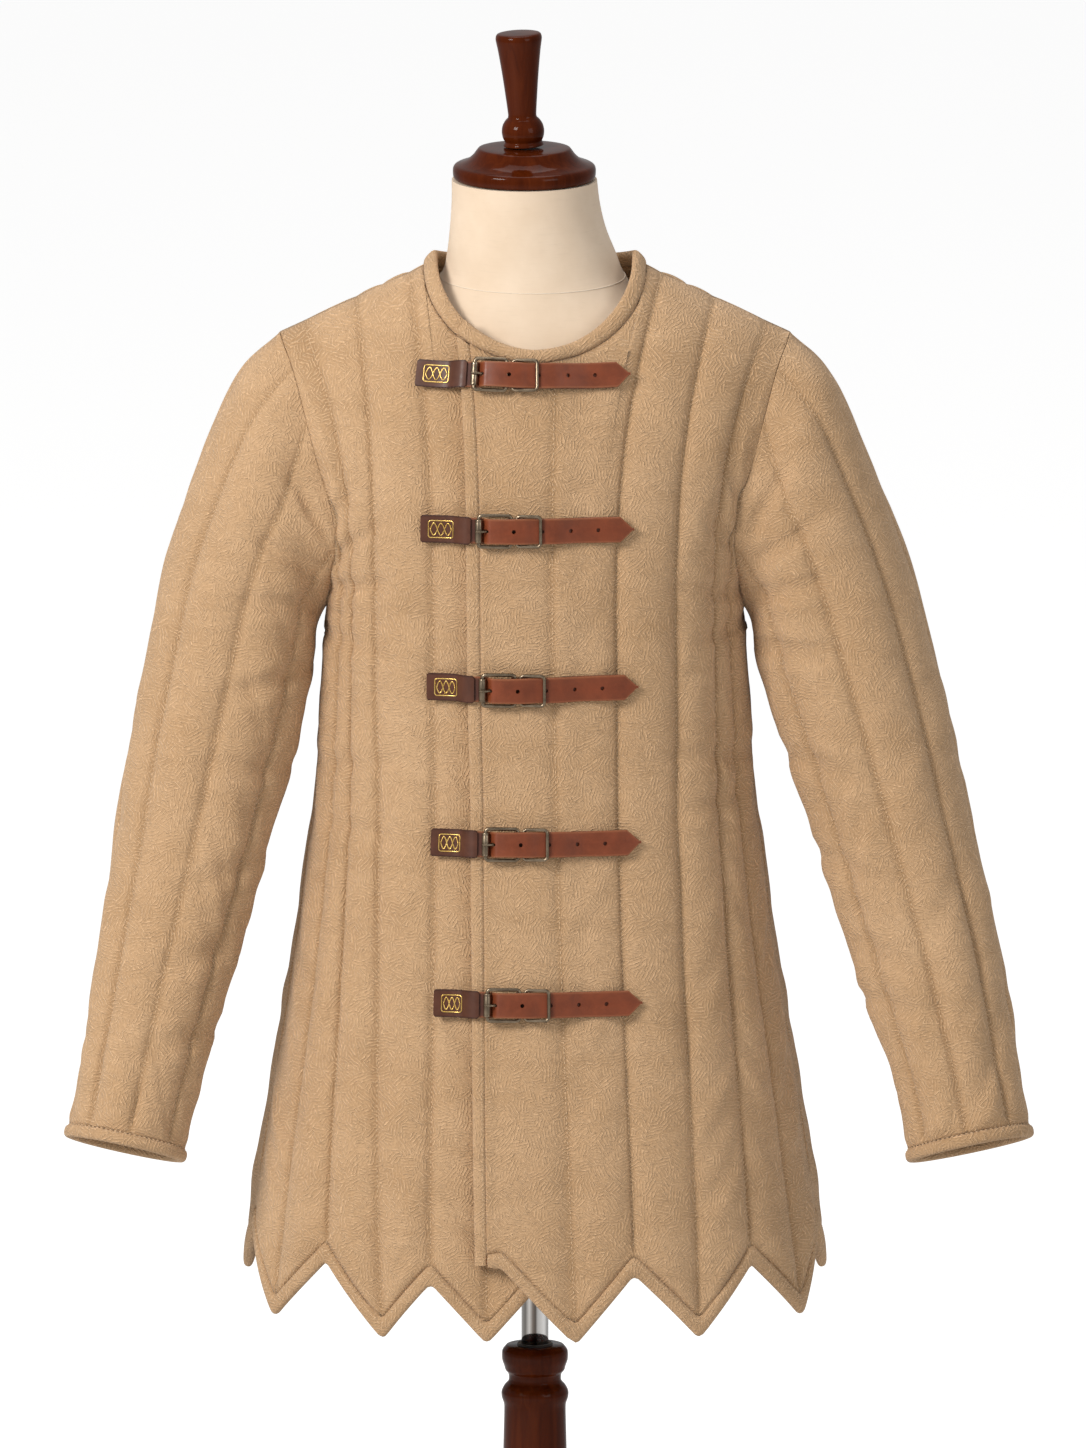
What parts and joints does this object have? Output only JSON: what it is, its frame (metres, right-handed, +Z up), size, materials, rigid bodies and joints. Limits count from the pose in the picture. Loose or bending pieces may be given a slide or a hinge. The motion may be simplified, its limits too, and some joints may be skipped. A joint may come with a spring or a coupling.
{
  "type": "gambeson on dress form",
  "caption": "Quilted padded jacket with long sleeves, dagged hem and buckled strap closures, on a limbless dress form with a turned wooden stand.",
  "frame": {"origin": "on the stand's turned axis at the floor, under the base's centre", "axes": "+Z up along the stand's axis; the garment's front faces -Y; +X is the wearer's left"},
  "size_m": [0.8884, 0.4042, 1.6832],
  "materials": {
    "quilted_cloth": "brushed matte cotton, quilted",
    "cloth_binding": "brushed matte cotton, rolled",
    "strap_leather": "waxed, semi-matte",
    "patch_leather": "dark waxed, semi-matte",
    "gold_thread": "metallic gold motif",
    "nickel": "antiqued nickel",
    "form_linen": "stretched cream cover, matte",
    "mahogany": "dark gloss lacquer",
    "chrome": "polished",
    "bushing_plastic": "black, matte"
  },
  "bodies": {
    "root": {"front_left": "quilted_cloth", "front_right": "quilted_cloth", "back": "quilted_cloth", "sleeve_left": "quilted_cloth", "sleeve_right": "quilted_cloth", "neck_binding": "cloth_binding", "front_edge_binding": "cloth_binding", "hem_binding_left": "cloth_binding", "hem_binding_right": "cloth_binding", "hem_binding_back": "cloth_binding", "cuff_binding_left": "cloth_binding", "cuff_binding_right": "cloth_binding", "patch_1": "patch_leather", "badge_1": "gold_thread", "strap_1": "strap_leather", "chape_1": "strap_leather", "buckle_1": "nickel", "roller_1": "nickel", "prong_1": "nickel", "keeper_1": "nickel", "patch_2": "patch_leather", "badge_2": "gold_thread", "strap_2": "strap_leather", "chape_2": "strap_leather", "buckle_2": "nickel", "roller_2": "nickel", "prong_2": "nickel", "keeper_2": "nickel", "patch_3": "patch_leather", "badge_3": "gold_thread", "strap_3": "strap_leather", "chape_3": "strap_leather", "buckle_3": "nickel", "roller_3": "nickel", "prong_3": "nickel", "keeper_3": "nickel", "patch_4": "patch_leather", "badge_4": "gold_thread", "strap_4": "strap_leather", "chape_4": "strap_leather", "buckle_4": "nickel", "roller_4": "nickel", "prong_4": "nickel", "keeper_4": "nickel", "patch_5": "patch_leather", "badge_5": "gold_thread", "strap_5": "strap_leather", "chape_5": "strap_leather", "buckle_5": "nickel", "roller_5": "nickel", "prong_5": "nickel", "keeper_5": "nickel", "form_torso": "form_linen", "neck_cap": "mahogany", "finial": "mahogany", "pole": "chrome", "pole_bushing": "bushing_plastic", "stand_column": "mahogany", "stand_base": "mahogany"}
  },
  "joints": []
}
